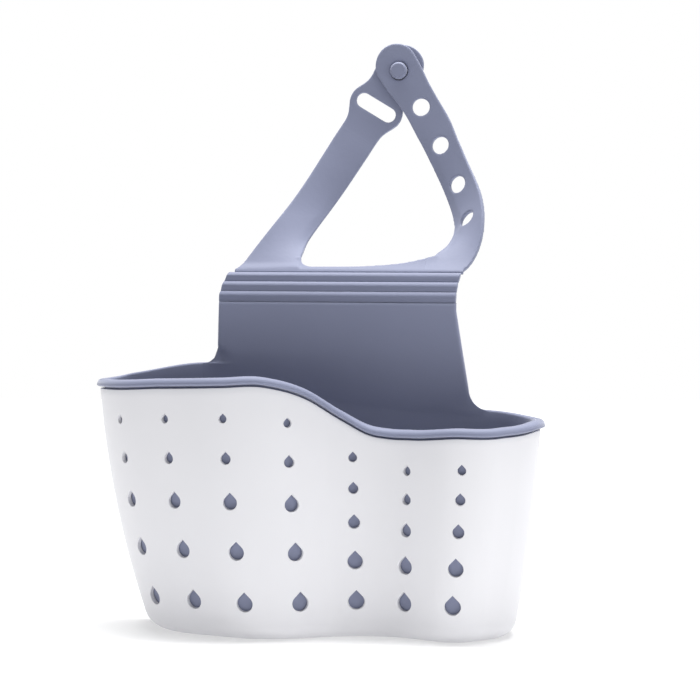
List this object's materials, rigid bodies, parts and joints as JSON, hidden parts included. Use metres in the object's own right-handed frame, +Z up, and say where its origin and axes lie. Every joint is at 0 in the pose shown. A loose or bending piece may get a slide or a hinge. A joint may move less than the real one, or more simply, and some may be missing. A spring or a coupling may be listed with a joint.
{
  "type": "kitchen sink caddy",
  "caption": "Sink caddy: wavy white drain basket with teardrop holes, a soft grey liner, and a tall back panel with ribbed flex band and buttoned strap loop to hang on a tap.",
  "frame": {"origin": "on the underside of the basket's floor, below the middle of the back panel", "axes": "+Z up, +X to the right of someone facing the basket, +Y to the back, towards the strap loop"},
  "size_m": [0.2059, 0.1113, 0.2703],
  "materials": {
    "basket_white": "satin moulded polypropylene",
    "liner_grey": "soft satin thermoplastic rubber"
  },
  "bodies": {
    "basket": {"outer_basket": "basket_white"},
    "liner": {"soft_liner": "liner_grey"},
    "lower_rib": {"flex_rib_lower": "liner_grey"},
    "middle_rib": {"flex_rib_middle": "liner_grey"},
    "upper_rib": {"flex_rib_upper": "liner_grey"},
    "button_strap": {"left_strap": "liner_grey", "button_stud": "liner_grey"},
    "hole_strap": {"right_strap": "liner_grey"}
  },
  "joints": [
    {"name": "liner_lift", "type": "slide", "parent": "basket", "child": "liner", "axis": [0, 0, 1], "range_m": [0, 0.12]},
    {"name": "flex_first_groove", "type": "hinge", "parent": "liner", "child": "lower_rib", "pos_m": [0, 0.0281, 0.146], "axis": [1, 0, 0], "range_deg": [-12, 12], "stiffness_Nm_per_rad": 0.12},
    {"name": "flex_second_groove", "type": "hinge", "parent": "lower_rib", "child": "middle_rib", "pos_m": [0, 0.02908, 0.1506], "axis": [1, 0, 0], "range_deg": [-12, 12], "stiffness_Nm_per_rad": 0.12},
    {"name": "flex_third_groove", "type": "hinge", "parent": "middle_rib", "child": "upper_rib", "pos_m": [0, 0.03069, 0.15501], "axis": [1, 0, 0], "range_deg": [-12, 12], "stiffness_Nm_per_rad": 0.12},
    {"name": "flex_strap_root", "type": "hinge", "parent": "upper_rib", "child": "button_strap", "pos_m": [0, 0.03289, 0.15916], "axis": [1, 0, 0], "range_deg": [-12, 12], "stiffness_Nm_per_rad": 0.12},
    {"name": "strap_unbutton", "type": "hinge", "parent": "button_strap", "child": "hole_strap", "pos_m": [0, 0.03289, 0.15916], "axis": [1, 0, 0], "range_deg": [0, 60], "stiffness_Nm_per_rad": 0.05}
  ],
  "couplings": [
    {"joint": "flex_second_groove", "follows": "flex_first_groove", "ratio": 1},
    {"joint": "flex_third_groove", "follows": "flex_first_groove", "ratio": 1},
    {"joint": "flex_strap_root", "follows": "flex_first_groove", "ratio": 1}
  ]
}
